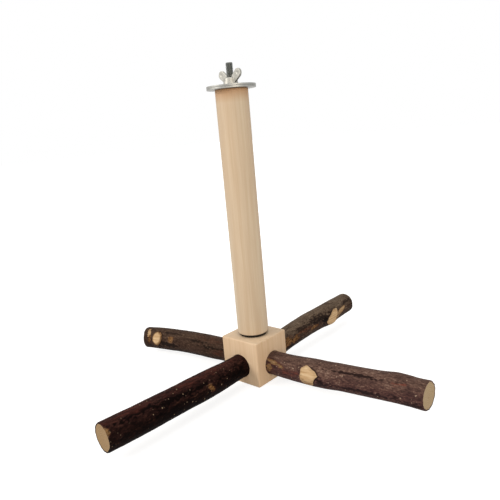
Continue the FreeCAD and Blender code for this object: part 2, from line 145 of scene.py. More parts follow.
def finishPiece(piece, body, slot, nodes, *materials):
    # the piece gets its materials, smooth shading and its place on a body
    activate(piece)
    for material in materials:
        piece.data.materials.append(material)
    bpy.ops.object.shade_smooth_by_angle(angle=math.radians(34))
    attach(piece, body)
    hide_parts(*nodes)
    print("made", piece.name, len(piece.data.polygons), "faces")


# Materials

def colour(hexValue):
    # sRGB hex to the linear values that a shader works in
    parts = [int(hexValue[i:i + 2], 16) / 255 for i in (1, 3, 5)]
    return [v / 12.92 if v <= 0.04045 else ((v + 0.055) / 1.055) ** 2.4 for v in parts] + [1]


def feed(tree, node, links):
    # a node given as a link feeds through its first live output
    for name, source in links.items():
        if isinstance(source, bpy.types.Node):
            source = next(output for output in source.outputs if output.enabled)
        tree.links.new(source, node.inputs[name])


def addNode(tree, kind, settings, links=None):
    # a node with its settings and what feeds it
    node = tree.nodes.new("ShaderNode" + kind)
    for name, value in settings.items():
        if name == "stops":
            stops = node.color_ramp.elements
            while len(stops) < len(value):
                stops.new(0.5)
            for stop, (place, shade) in zip(stops, value):
                stop.position, stop.color = place, colour(shade)
        elif isinstance(name, int) or name in node.inputs:
            node.inputs[name].default_value = value
        else:
            setattr(node, name, value)
    feed(tree, node, links or {})
    return node


def startTree(owner):
    # the emptied node tree of a material or a world
    owner.use_nodes = True
    owner.node_tree.nodes.clear()
    return owner.node_tree


def startMaterial(name, **shader):
    # a new material with one principled shader, and its tree
    material = bpy.data.materials.new(name)
    tree = startTree(material)
    values = {key.replace("_", " "): value for key, value in shader.items()}
    surface = addNode(tree, "BsdfPrincipled", values)
    addNode(tree, "OutputMaterial", {}, {"Surface": surface})
    return material, tree, surface


def makeWood(name, facts):
    # Sanded bare hardwood, planed or turned and left raw: matt, with soft lengthwise streaks, faint growth
    # rings where the rings are cut across, and fine dark pores.
    material, tree, surface = startMaterial(name, Roughness=0.62)
    place = addNode(tree, "TexCoord", {}).outputs["Object"]
    centred = addNode(tree, "Mapping", {"Location": facts["heart"]}, {"Vector": place})
    stretched = addNode(tree, "Mapping", {"Scale": (1, 1, 0.035)}, {"Vector": centred})
    # streaks 2.4 mm wide, broad shades 10 mm and pores 0.5 mm
    streaks = addNode(tree, "TexNoise", {"Scale": 420, "Detail": 5, "Roughness": 0.6},
                      {"Vector": stretched})
    broad = addNode(tree, "TexNoise", {"Scale": 95, "Detail": 3}, {"Vector": stretched})
    bent = addNode(tree, "VectorMath", {"operation": "MULTIPLY_ADD", 1: (0.003, 0.003, 0)},
                   {0: broad.outputs["Color"], 2: stretched})
    rings = addNode(tree, "TexWave", {"wave_type": "RINGS", "rings_direction": "Z", "wave_profile": "SAW",
                                      "Scale": facts["ringScale"], "Distortion": 1.2, "Detail": 2,
                                      "Detail Scale": 40}, {"Vector": bent})
    pores = addNode(tree, "TexNoise", {"Scale": 1900, "Detail": 2}, {"Vector": stretched})
    poreMask = addNode(tree, "MapRange", {"From Min": 0.62, "From Max": 0.78, "To Max": facts["poreDepth"]},
                       {"Value": pores})
    # the three are added up, and the ramp is centred on their middle
    broadShare, streakShare, ringShare, spread = 0.8, facts["streakShare"], facts["ringShare"], 0.45
    grain = addNode(tree, "Math", {"operation": "MULTIPLY", 1: streakShare}, {0: streaks})
    tone = addNode(tree, "Math", {"operation": "MULTIPLY_ADD", 1: ringShare}, {0: rings, 2: grain})
    shifted = addNode(tree, "Math", {"operation": "MULTIPLY_ADD", 1: broadShare}, {0: broad, 2: tone})
    middle = (broadShare + streakShare + ringShare) / 2
    level = addNode(tree, "MapRange", {"From Min": middle - spread, "From Max": middle + spread},
                    {"Value": shifted})
    shades = addNode(tree, "ValToRGB", {"stops": facts["shades"]}, {"Fac": level})
    pored = addNode(tree, "Mix", {"data_type": "RGBA", 7: colour(facts["pore"])}, {0: poreMask, 6: shades})
    # a band of painted light at the top end, painted shade under the washers on the stem and a paler
    # painted sheen over the hub's top face; and the lower edge, darkened as painted shade for the gap over
    # the washer that it turns on
    height = addNode(tree, "SeparateXYZ", {}, {"Vector": place}).outputs["Z"]
    low, high = facts["paintedLightBandHeights"]
    paintedLightBand = addNode(tree, "MapRange", {"From Min": low * mm, "From Max": high * mm, "To Max": 0.75},
                   {"Value": height})
    paintedLightBanded = addNode(tree, "Mix", {"data_type": "RGBA", 7: colour(facts["paintedLightBand"])}, {0: paintedLightBand, 6: pored})
    foot = addNode(tree, "MapRange", {"From Min": (facts["gapShadeHeight"] + 0.3) * mm,
                                      "From Max": (facts["gapShadeHeight"] - 0.1) * mm}, {"Value": height})
    gapShaded = addNode(tree, "Mix", {"data_type": "RGBA", 7: colour("#1a1410")}, {0: foot, 6: paintedLightBanded})
    relief = addNode(tree, "Math", {"operation": "SUBTRACT"}, {0: streaks, 1: poreMask})
    bump = addNode(tree, "Bump", {"Strength": 0.35, "Distance": 0.00012}, {"Height": relief})
    feed(tree, surface, {"Base Color": gapShaded, "Normal": bump})
    return material


def makeBark(name, facts):
    # Dry bark of a young branch: thin and matt, wrinkled lengthwise, scuffed, with pale raised breathing
    # pores. Where the attribute "marks" says so it is peeled or planed down to the wood.
    material, tree, surface = startMaterial(name, Roughness=0.6, Specular_IOR_Level=facts["shine"])
    skin = addNode(tree, "Attribute", {"attribute_name": "grain"}).outputs["Vector"]
    marks = addNode(tree, "Attribute", {"attribute_name": "marks"}).outputs["Vector"]
    bareMark, stainMark, darkMark = addNode(tree, "SeparateXYZ", {}, {"Vector": marks}).outputs
    short, long, veryLong = (addNode(tree, "Mapping", {"Scale": (length, 1, 1)}, {"Vector": skin})
                             for length in (0.45, 0.2, 0.05))
    # wrinkles 2 mm apart, scuffs 1 mm wide, blotches 8 mm wide
    wrinkles = addNode(tree, "TexNoise", {"Scale": 480, "Detail": 7, "Roughness": 0.7, "Distortion": 0.6},
                       {"Vector": long})
    scuffs = addNode(tree, "TexNoise", {"Scale": 950, "Detail": 4, "Roughness": 0.65}, {"Vector": short})
    blotches = addNode(tree, "TexNoise", {"Scale": 125, "Detail": 5, "Roughness": 0.62, "Distortion": 0.7},
                       {"Vector": short})
    fibres = addNode(tree, "TexNoise", {"Scale": 900, "Detail": 4}, {"Vector": veryLong})
    blotched = addNode(tree, "Math", {"operation": "MULTIPLY", 1: 0.4}, {0: blotches})
    mixed = addNode(tree, "Math", {"operation": "MULTIPLY_ADD", 1: 0.55}, {0: wrinkles, 2: blotched})
    scuffed = addNode(tree, "Math", {"operation": "MULTIPLY_ADD", 1: 0.8}, {0: scuffs, 2: mixed})
    darkened = addNode(tree, "Math", {"operation": "MULTIPLY_ADD", 1: -0.3}, {0: darkMark, 2: scuffed})
    level = addNode(tree, "MapRange", {"From Min": 0.62, "From Max": 1.14}, {"Value": darkened})
    shades, topShades = (
        addNode(tree, "ValToRGB", {"stops": list(zip((0, 0.35, 0.65, 1), facts[key]))}, {"Fac": level})
        for key in ("shades", "topShades"))
    # the upper side paler, partly weathering and partly painted light from above, and the lower side
    # darkened as painted shade
    height = addNode(tree, "SeparateXYZ", {}, {"Vector": skin}).outputs["Z"]
    drift = addNode(tree, "Math", {"operation": "MULTIPLY_ADD", 1: 0.016, 2: -0.008}, {0: blotches})
    drifted = addNode(tree, "Math", {"operation": "ADD"}, {0: height, 1: drift})
    upper = addNode(tree, "MapRange", {"From Min": 0.001, "From Max": 0.0095, "To Max": facts["topShare"]},
                    {"Value": drifted})
    weatheredAndLitTop = addNode(tree, "Mix", {"data_type": "RGBA"}, {0: upper, 6: shades, 7: topShades})
    lower = addNode(tree, "MapRange", {"From Min": -0.002, "From Max": -0.0105, "To Max": 0.6},
                    {"Value": height})
    paintedUnderShade = addNode(tree, "Mix", {"data_type": "RGBA", 7: colour(facts["paintedUnderShade"])}, {0: lower, 6: weatheredAndLitTop})
    # breathing pores, 1 mm across, on only part of the bark
    cells = addNode(tree, "TexVoronoi", {"Scale": 300, "Randomness": 1}, {"Vector": skin})
    spots = addNode(tree, "MapRange", {"From Min": 0.21, "From Max": 0.11},
                    {"Value": cells.outputs["Distance"]})
    parts = addNode(tree, "TexNoise", {"Scale": 240, "Detail": 2}, {"Vector": skin})
    gate = addNode(tree, "MapRange", {"From Min": 0.49, "From Max": 0.58, "To Max": facts["poreShare"]},
                   {"Value": parts})
    spotMask = addNode(tree, "Math", {"operation": "MULTIPLY"}, {0: spots, 1: gate})
    spotted = addNode(tree, "Mix", {"data_type": "RGBA", 7: colour(facts["pore"])}, {0: spotMask, 6: paintedUnderShade})
    # places where the outer skin has rubbed off to the redder bark under it
    worn = addNode(tree, "MapRange", {"From Min": 0.42, "From Max": 0.66}, {"Value": wrinkles})
    rubbed = addNode(tree, "Math", {"operation": "MULTIPLY"}, {0: stainMark, 1: worn})
    reddened = addNode(tree, "Mix", {"data_type": "RGBA", 7: colour(facts["red"])}, {0: rubbed, 6: spotted})
    # peeled and planed places, their edges frayed along the grain, with inner bark left on the stained ones
    fray = addNode(tree, "MapRange", {"From Min": 0.3, "From Max": 0.7, "To Min": -0.42, "To Max": 0.42},
                   {"Value": wrinkles})
    frayed = addNode(tree, "Math", {"operation": "ADD"}, {0: bareMark, 1: fray})
    bare = addNode(tree, "MapRange", {"From Min": 0.42, "From Max": 0.62}, {"Value": frayed})
    bareShades = ((0.3, "#a5835c"), (0.5, "#c0a17b"), (0.75, "#d3ba95"))
    innerShades = ((0.32, "#2a1a10"), (0.5, "#634529"), (0.7, "#8e6a45"))
    bareWood = addNode(tree, "ValToRGB", {"stops": bareShades}, {"Fac": fibres})
    innerBark = addNode(tree, "ValToRGB", {"stops": innerShades}, {"Fac": scuffs})
    patchy = addNode(tree, "Math", {"operation": "MULTIPLY_ADD", 1: 1.2, 2: -0.6}, {0: wrinkles})
    stain = addNode(tree, "Math", {"operation": "ADD", "use_clamp": True}, {0: stainMark, 1: patchy})
    clean = addNode(tree, "MapRange", {"From Max": 0.12}, {"Value": stainMark})
    stainShare = addNode(tree, "Math", {"operation": "MULTIPLY"}, {0: stain, 1: clean})
    stained = addNode(tree, "Mix", {"data_type": "RGBA"}, {0: stainShare, 6: bareWood, 7: innerBark})
    finished = addNode(tree, "Mix", {"data_type": "RGBA"}, {0: bare, 6: reddened, 7: stained})
    gloss = addNode(tree, "MapRange", {"To Min": facts["sheen"], "To Max": 0.8}, {"Value": wrinkles})
    dull = addNode(tree, "Mix", {"data_type": "FLOAT", 3: 0.7}, {0: bare, 2: gloss})
    raised = addNode(tree, "Math", {"operation": "MULTIPLY_ADD", 1: 0.35}, {0: spotMask, 2: scuffed})
    relief = addNode(tree, "Mix", {"data_type": "FLOAT"}, {0: bare, 2: raised, 3: fibres})
    bump = addNode(tree, "Bump", {"Strength": 0.7, "Distance": 0.0006}, {"Height": relief})
    feed(tree, surface, {"Base Color": finished, "Roughness": dull, "Normal": bump})
    return material


def makeCutWood(name, facts):
    # A branch sawn across and lightly sanded: growth rings round a small darker pith, and the saw's grit.
    material, tree, surface = startMaterial(name, Roughness=0.72)
    place = addNode(tree, "Attribute", {"attribute_name": "grain"}).outputs["Vector"]
    flat = addNode(tree, "Mapping", {"Scale": (0, 1, 1), "Location": facts["pith"]}, {"Vector": place})
    wobble = addNode(tree, "TexNoise", {"Scale": 130, "Detail": 3}, {"Vector": place})
    radius = addNode(tree, "VectorMath", {"operation": "LENGTH"}, {0: flat})
    bent = addNode(tree, "Math", {"operation": "MULTIPLY_ADD", 1: 0.0016},
                   {0: wobble, 2: radius.outputs["Value"]})
    ringWidth = 1.3 * mm
    phase = addNode(tree, "Math", {"operation": "MULTIPLY", 1: 1 / ringWidth}, {0: bent})
    ring = addNode(tree, "Math", {"operation": "FRACT"}, {0: phase})
    grit = addNode(tree, "TexNoise", {"Scale": 1500, "Detail": 3}, {"Vector": place})
    gritty = addNode(tree, "Math", {"operation": "MULTIPLY_ADD", 1: 0.5}, {0: ring, 2: grit})
    level = addNode(tree, "MapRange", {"From Min": 0.3, "From Max": 1.1}, {"Value": gritty})
    shades = addNode(tree, "ValToRGB", {"stops": facts["shades"]}, {"Fac": level})
    pith = addNode(tree, "MapRange", {"From Min": 0.0018, "From Max": 0.0012, "To Max": 0.4},
                   {"Value": bent})
    hearted = addNode(tree, "Mix", {"data_type": "RGBA", 7: colour(facts["pithShade"])},
                      {0: pith, 6: shades})
    bump = addNode(tree, "Bump", {"Strength": 0.4, "Distance": 0.0002}, {"Height": gritty})
    feed(tree, surface, {"Base Color": hearted, "Normal": bump})
    return material


def makeZinc(name, facts):
    # Zinc plate on steel, or steel made black, its dark a painted shade for the gap that it sits in: an
    # even coat, a little cloudy, with fine handling scratches and, on the punched washers, the grain of the
    # rolled strip.
    material, tree, surface = startMaterial(name, Metallic=1.0)
    place = addNode(tree, "TexCoord", {}).outputs["Object"]
    clouds = addNode(tree, "TexNoise", {"Scale": facts["cloudScale"], "Detail": 4}, {"Vector": place})
    shades = addNode(tree, "ValToRGB", {"stops": list(zip((0.3, 0.7), facts["shades"]))}, {"Fac": clouds})
    strip = addNode(tree, "Mapping", {"Scale": facts["grain"]}, {"Vector": place})
    scratches = addNode(tree, "TexNoise", {"Scale": 900, "Detail": 3}, {"Vector": strip})
    smooth, coarse = facts["roughness"]
    rough = addNode(tree, "MapRange", {"To Min": smooth, "To Max": coarse}, {"Value": scratches})
    bump = addNode(tree, "Bump", {"Strength": facts["bump"], "Distance": 0.00005}, {"Height": scratches})
    feed(tree, surface, {"Base Color": shades, "Roughness": rough, "Normal": bump})
    return material


def makeNylon(name):
    # Moulded natural nylon: milky, slightly waxy.
    material, tree, surface = startMaterial(name, Roughness=0.42, Subsurface_Weight=0.15,
                                            Subsurface_Radius=(0.002, 0.002, 0.002))
    place = addNode(tree, "TexCoord", {}).outputs["Object"]
    clouds = addNode(tree, "TexNoise", {"Scale": 600, "Detail": 3}, {"Vector": place})
    shades = addNode(tree, "ValToRGB", {"stops": ((0.3, "#d6d4c8"), (0.7, "#e8e6dc"))}, {"Fac": clouds})
    bump = addNode(tree, "Bump", {"Strength": 0.15, "Distance": 0.00005}, {"Height": clouds})
    feed(tree, surface, {"Base Color": shades, "Normal": bump})
    return material


metals = dict(
    rolledThreadZinc=dict(shades=("#747673", "#868884"), cloudScale=500, grain=(1, 1, 1),
                          roughness=(0.38, 0.5), bump=0.1),
    punchedZincPlate=dict(shades=("#8f8f8b", "#a3a29c"), cloudScale=90, grain=(0.04, 1, 1),
                          roughness=(0.44, 0.5), bump=0.02),
    castZincPlate=dict(shades=("#999891", "#adaba4"), cloudScale=350, grain=(1, 1, 1),
                       roughness=(0.5, 0.58), bump=0.02),
    # the pivot washer's black is painted shade for the gap between stem and hub
    gapShadeBlackSteel=dict(shades=("#1c1a18", "#3a3733"), cloudScale=300, grain=(1, 1, 1),
                         roughness=(0.3, 0.5), bump=0.2),
)
dullZinc, plateZinc, castZinc, gapShadeSteel = (makeZinc(name, facts) for name, facts in metals.items())
nylon = makeNylon("mouldedNylon")
print("metals and nylon ready")


# The stem: a turned dowel, its ends eased, with a pilot hole in each end

stem = dict(radius=13.5, low=42, high=249, ease=0.8, hole=3.05, holeDepth=28, flats=0.05, cuts=(9, 9))
# the stem's band is painted shade under the washers, and its dark lower edge is painted shade for the gap
# below it
stemWood = makeWood("turnedBeech", dict(
    heart=(0.021, 0.009, 0), ringScale=230, ringShare=0.06, streakShare=0.55,
    shades=((0.0, "#a59070"), (0.45, "#bba488"), (1.0, "#cfc0a7")), poreDepth=0.15, pore="#a98a6a",
    paintedLightBand="#a87440", paintedLightBandHeights=(238, 248.6), gapShadeHeight=42.6))


def makeStem():
    piece = addCylinder("turnedStem", stem["radius"], stem["low"], stem["high"], sides=128)
    # the rings go in first, so that only the outer wall has them
    addRings(piece, 2, stem["cuts"])
    selectWhere(piece, "FACE", lambda face: abs(face.normal.z) > 0.9)
    bpy.ops.mesh.inset(thickness=(stem["radius"] - stem["hole"]) * mm)
    for end, step in ((stem["high"], -1), (stem["low"], 1)):
        selectWhere(piece, "FACE", lambda face: len(face.verts) > 4
                    and abs(face.calc_center_median().z / mm - end) < 1)
        bpy.ops.mesh.extrude_region_move(
            TRANSFORM_OT_translate={"value": (0, 0, step * stem["holeDepth"] * mm)})
    for end in (stem["high"], stem["low"]):
        selectWhere(piece, "EDGE", lambda edge: all(
            vert.co.xy.length > (stem["radius"] - 0.01) * mm and abs(vert.co.z - end * mm) < tiny
            for vert in edge.verts))
        bpy.ops.mesh.bevel(offset=stem["ease"] * mm, segments=4, affect="EDGES")
    leaveEdit()
    # the lathe and the sanding belt leave the dowel a hair uneven
    points = readPoints(piece)
    outer = np.hypot(points[:, 0], points[:, 1]) > stem["hole"] + 1
    swell = np.array([noise.noise((x / 16, y / 16, z / 60)) for x, y, z in points]) * stem["flats"]
    points[outer, :2] *= (1 + (swell[outer, None] - stem["flats"]) / stem["radius"])
    writePoints(piece, points)
    finishPiece(piece, "stem_body", "turned_wood", ["stem"], stemWood)


makeStem()


# The hub: a sanded block, bored for four branches, the pivot bolt, its nut and four screws

hub = dict(size=40, edge=1.2, socketHeight=16, socketRadius=10.2, socketFloor=8.5, socketRings=24,
           rimFlare=0.35, rimDepth=0.6, bore=3.1, recess=8, recessDepth=9, screwOut=14, screwHole=1.55,
           screwDepth=9, screwRings=37, screwSink=3.25, sinkPlay=0.2, sinkRadius=4)
# the block's paler band is a painted sheen over its top face; its gap shade lies below the block and shows
# nowhere
hubWood = makeWood("sandedBasswood", dict(
    heart=(0.028, -0.017, 0), ringScale=190, ringShare=0.1, streakShare=0.7,
    shades=((0.0, "#bb9b74"), (0.5, "#ccaf8e"), (1.0, "#dcc5a8")), poreDepth=0.12, pore="#b0926c",
    paintedLightBand="#d3bda0", paintedLightBandHeights=(39.2, 40.4), gapShadeHeight=-1))
socketShifts = dict(right=0.4, front=-0.3, left=0.0, back=0.0)
headings = dict(right=0, front=-90, left=180, back=90)


def makeHub():
    deselectAll()
    half = hub["size"] / 2
    bpy.ops.mesh.primitive_cube_add(size=hub["size"] * mm, location=(0, 0, half * mm))
    piece = namePiece("hubBlock")
    applyModifier(piece, "BEVEL", width=hub["edge"] * mm, segments=5, limit_method="ANGLE")
    for name, heading in headings.items():
        cutter = addCylinder("socketCutter", hub["socketRadius"], hub["socketFloor"], half + 1, sides=96,
                             place=(socketShifts[name], hub["socketHeight"]), along="x")
        addRings(cutter, 0, (hub["socketRings"],))
        # the bore's mouth opens a little where its edge was sanded
        points = readPoints(cutter)
        centre = np.array([socketShifts[name], hub["socketHeight"]])
        outward = np.clip((points[:, 0] - (half - hub["rimDepth"])) / hub["rimDepth"], 0, 2)
        flare = outward[:, None] ** 2 * hub["rimFlare"]
        points[:, 1:] = centre + (points[:, 1:] - centre) * (1 + flare / hub["socketRadius"])
        writePoints(cutter, points)
        cutter.rotation_euler.z = math.radians(heading)
        bpy.context.view_layer.update()
        carve(piece, cutter)
    carve(piece, addCylinder("boreCutter", hub["bore"], -1, hub["size"] + 1))
    carve(piece, addCylinder("recessCutter", hub["recess"], -1, hub["recessDepth"]))
    for name, heading in headings.items():
        turn = Matrix.Rotation(math.radians(heading), 2)
        place = turn @ Vector((hub["screwOut"], socketShifts[name]))
        cutter = addCylinder("screwCutter", hub["screwHole"], -0.5, hub["screwDepth"], 32, place)
        addRings(cutter, 2, (hub["screwRings"],))
        points = readPoints(cutter)
        sink = hub["screwSink"] + hub["sinkPlay"] - points[:, 2]
        wide = np.clip(sink, hub["screwHole"], hub["sinkRadius"]) / hub["screwHole"]
        points[:, :2] = np.array(place) + (points[:, :2] - np.array(place)) * wide[:, None]
        writePoints(cutter, points)
        carve(piece, cutter)
    finishPiece(piece, "cross_body", "block_wood", ["hub_block"], hubWood)


makeHub()


# The branches: each follows the stations of its solid, with its own knots, peeled places and colours

branchMesh = dict(
    sides=150, cuts=(16, 16), radius=10, start=8.5, hubFace=20, rimInsets=(0.8, 1.5, 1.9, 2.0, 1.9, 1.2),
    woodShare=0.925, skin=11, fadeStart=20.5, fadeLength=7, tenonReach=10.12, peelDepth=0.45, rimDrop=0.45,
    rimLength=1.1, sawDepth=0.12, turnReach=25,
    # height, length and width of the skin's waves, and where each looks into the noise
    waves=((0.34, 26, 9, 0), (0.2, 16, 2.6, 9), (0.1, 4, 1.3, 17)))
paleEnd = dict(shades=((0.0, "#7e6442"), (0.5, "#96805d"), (1.0, "#a99373")), pithShade="#7d5c3a")


def oval(u, angle, long, wide, amount, slant=0):
    # a mark on a branch: its place, half sizes and slant, and how high, stained or dark it is
    return dict(u=u, angle=angle, long=long, wide=wide, amount=amount, slant=slant)


# u runs along a branch from the swivel axis, and angles run round it from its left side, with 90 on top.
# rings: share of the length, sideways shift, rise and radius. turn and rounding: how the sawn end faces
# and how far it is whittled. cuts: a drawn outline, and the plane that it is flattened to, as place, angle,
# distance from the heart and lean; towards which end a dark strip round its outline grows, how brown its
# rim is, and between which angles a stain grows to how much.
# bark: topShades paint the upper side paler, partly weathering and partly painted light from above, and the
# underside's colour is painted shade
branches = dict(
    right=dict(
        length=140, turn=0, rounding=0,
        rings=((0, 0.4, 0, 10.1), (0.31, 0.8, 1.2, 11.1), (0.54, 2.0, 3.4, 10.7), (0.77, 3.1, 5.3, 10.7),
               (1, 3.8, 6.5, 11.1)),
        knots=(oval(64.5, 164, 8.5, 8.5, 2.6, slant=15), oval(137, 72, 11, 9, 1.0)),
        cuts=(dict(outline=((62, 130), (57.5, 146), (57.5, 168), (56.5, 196), (60, 222), (64, 234),
                            (69, 206), (71, 178), (74, 166), (70.5, 148)),
                   plane=(65, 166, 12.0, 0.05), lip=1, rim=0.25, stained=(172, 200, 0.55)),),
        peels=(oval(26, 149, 8, 1.8, 0.75, slant=8), oval(35, 159, 5, 1.6, 0.8, slant=20),
               oval(23, 180, 3, 4.2, 0.85)),
        reds=(oval(141, 135, 7, 2.6, 0.9), oval(48, 178, 12, 4, 0.5)),
        darks=(oval(105, 131, 24, 1.3, 1.3), oval(76, 196, 5, 4, 0.9), oval(110, 196, 45, 2.0, 0.7),
               oval(60, 240, 9, 2, 0.9), oval(150, 205, 14, 3, 0.7)),
        bark=dict(shades=("#1d1111", "#3a2726", "#543a34", "#876d60"),
                  topShades=("#281b17", "#4d3a32", "#685146", "#937c6b"),
                  topShare=0.75, paintedUnderShade="#21110f", pore="#9c8674", red="#6b2f22", poreShare=0.8, sheen=0.5,
                  shine=0.04),
        end=paleEnd),
    front=dict(
        length=139.8, turn=-7, rounding=0,
        rings=((0, -0.3, 0, 10.1), (0.26, -0.3, 0.3, 11.1), (0.5, -0.6, 1.0, 11.1), (0.75, -1.2, 1.9, 11.1),
               (1, -2.1, 3.1, 11.1)),
        knots=(oval(66, 12, 7, 6, 0.5),),
        cuts=(),
        peels=(oval(66, 9, 4.2, 2.2, 1.25, slant=55), oval(159.4, 46, 1.5, 3.4, 0.9)),
        # the two long strips along the top make it lighter and redder: partly rubbed bark, partly painted
        # light from above
        reds=(oval(70, 84, 60, 6, 0.9), oval(140, 92, 40, 7, 0.9)),
        darks=(oval(132, 57, 18, 2.6, 1.4), oval(104, 42, 20, 2.6, 1.4, slant=4),
               oval(80, 35, 14, 2.4, 1.3), oval(40, 10, 18, 7, 0.8), oval(110, -20, 70, 8, 0.5)),
        bark=dict(shades=("#050202", "#0e0605", "#1b0d0a", "#483021"),
                  topShades=("#0e0605", "#221210", "#341f1b", "#573a30"),
                  topShare=0.95, paintedUnderShade="#0a0504", pore="#84705a", red="#4f2a23", poreShare=0.95, sheen=0.45,
                  shine=0.02),
        # its sawn end is a darker copy of the others' colour, painted shade against the key lamp that
        # lights this end more
        end=dict(shades=((0.0, "#6f542f"), (0.5, "#856840"), (1.0, "#977c53")), pithShade="#6f4f2a")),
    left=dict(
        length=112.8, turn=15, rounding=2.6,
        rings=((0, 0, 0, 10.1), (0.27, 3.1, 0.3, 10.8), (0.57, 6.8, 0.1, 10.7), (0.825, 12.1, -0.4, 10.6),
               (1, 17.6, -0.7, 10.2)),
        knots=(oval(113, 22, 6.5, 8.5, 2.4), oval(97, 32, 8, 6, 0.6)),
        cuts=(dict(outline=((113.2, -15), (110.2, -11), (107.6, 1), (106.4, 20), (107.2, 38), (109.8, 51),
                            (113, 57), (116.3, 52), (119, 38), (119.8, 20), (118.8, 3), (116.2, -11)),
                   plane=(113, 22, 11.9, 0), lip=-1, rim=1.3, stained=(50, 60, 0.4)),),
        peels=(oval(95, 24, 3.6, 2.4, 0.95), oval(125.6, 44, 2.0, 4.4, 0.3, slant=-10),
               oval(124.4, 12, 1.4, 3.8, 1.4, slant=10)),
        reds=(oval(48, 66, 24, 6, 0.5), oval(36, 2, 12, 4, 0.8)),
        darks=(oval(99, -8, 13, 2.2, 1.9), oval(112, -19, 6, 1.8, 1.9), oval(96, 56, 12, 1.1, 0.9),
               oval(61, 40, 12, 1.4, 1.0), oval(42, 20, 16, 1.6, 0.9), oval(70, -50, 60, 4, 0.7),
               oval(118, -22, 12, 1.5, 0.8)),
        bark=dict(shades=("#1c120d", "#31221a", "#45332a", "#6b5642"),
                  topShades=("#231912", "#382a21", "#4d3d31", "#705d4a"),
                  topShare=0.6, paintedUnderShade="#1c120d", pore="#7c6a54", red="#4c281c", poreShare=0.3, sheen=0.5,
                  shine=0.04),
        end=paleEnd),
    back=dict(
        length=135, turn=0, rounding=0,
        rings=((0, 0, 0, 10.1), (0.24, 1.3, 1.9, 10.4), (0.46, 2.0, 3.0, 10.7), (0.69, 2.0, 3.0, 10.9),
               (1, 2.4, 3.7, 10.5)),
        knots=(oval(113, 182, 9, 9.5, 2.8, slant=-20),),
        cuts=(dict(outline=((123, 148), (116, 146), (111, 154), (105, 172), (102, 190), (104.5, 208),
                            (112, 224), (118, 228), (120.5, 204), (122, 182)),
                   plane=(113, 184, 12.1, 0.03), lip=-1, rim=0.3, stained=(205, 226, 0.6)),
              dict(outline=((117, 200), (121, 172), (130, 160), (138, 156), (139, 165), (133, 184),
                            (124, 202)),
                   plane=(128, 172, 13, 0), lip=0, rim=0.9, stained=(150, 190, 0.7))),
        peels=(oval(34, 155, 9, 2.0, 0.9), oval(36, 168, 16, 3.4, 1.1, slant=6),
               oval(80, 180, 6, 1.6, 0.95)),
        reds=(oval(62, 172, 22, 3, 0.8),),
        darks=(oval(92, 152, 19, 4.4, 1.1, slant=8), oval(62, 150, 12, 2.8, 1.0), oval(100, 176, 8, 4, 1.0),
               oval(142, 140, 12, 2, 0.9), oval(36, 192, 18, 2.4, 1.1)),
        bark=dict(shades=("#0e0706", "#2b1d16", "#44342a", "#6c5947"),
                  topShades=("#32261f", "#4f4135", "#645547", "#857561"),
                  topShare=0.95, paintedUnderShade="#1c120d", pore="#7c6c56", red="#5e3520", poreShare=0.2, sheen=0.5,
                  shine=0.04),
        end=paleEnd),
)


def smoothThrough(rings, u, column):
    # a smooth curve through one measure of the branch's rings
    places = [ring[0] for ring in rings]
    values = [ring[column] for ring in rings]
    slopes = np.gradient(values, places)
    slopes[0] = 0
    i = np.clip(np.searchsorted(places, u, side="right") - 1, 0, len(places) - 2)
    places, values = np.array(places), np.array(values)
    span = places[i + 1] - places[i]
    t = np.clip((u - places[i]) / span, 0, 1)
    return ((2 * t ** 3 - 3 * t ** 2 + 1) * values[i] + (t ** 3 - 2 * t ** 2 + t) * span * slopes[i]
            + (3 * t ** 2 - 2 * t ** 3) * values[i + 1] + (t ** 3 - t ** 2) * span * slopes[i + 1])


def noiseAt(u, y, z, sizes, seed):
    # smooth noise over the branch's skin; sizes are the grains' length and width in millimetres
    long, wide = sizes
    return np.array([noise.noise((a / long + seed, b / wide, c / wide)) for a, b, c in zip(u, y, z)])


def turnedNear(angle, middle):
    # the angle in degrees, counted so that it does not jump near the middle
    return (np.degrees(angle) - middle + 180) % 360 - 180 + middle


def nearness(mark, u, angle, radius):
    # 1 in the middle of a mark, 0 on its outline, negative outside
    across = np.radians(turnedNear(angle, mark["angle"]) - mark["angle"]) * radius
    along = u - mark["u"]
    slant = math.radians(mark["slant"])
    turned = along * math.cos(slant) + across * math.sin(slant)
    level = across * math.cos(slant) - along * math.sin(slant)
    return 1 - np.hypot(turned / mark["long"], level / mark["wide"])


def insideOutline(outline, u, angle):
    # how many millimetres inside a drawn outline each point lies; negative outside
    skin = branchMesh["skin"]
    corners = np.array([(place, math.radians(turn) * skin) for place, turn in outline])
    middle = sum(turn for place, turn in outline) / len(outline)
    points = np.stack((u, np.radians(turnedNear(angle, middle)) * skin), axis=1)
    nearest = np.full(len(u), 1e9)
    inside = np.zeros(len(u), bool)
    for start, stop in zip(corners, np.roll(corners, -1, axis=0)):
        step = stop - start
        share = np.clip((points - start) @ step / (step @ step), 0, 1)
        nearest = np.minimum(nearest, np.linalg.norm(points - start - share[:, None] * step, axis=1))
        if start[1] != stop[1]:
            crosses = (start[1] > points[:, 1]) != (stop[1] > points[:, 1])
            inside ^= crosses & (points[:, 0] < start[0] + (points[:, 1] - start[1]) * step[0] / step[1])
    return np.where(inside, nearest, -nearest)


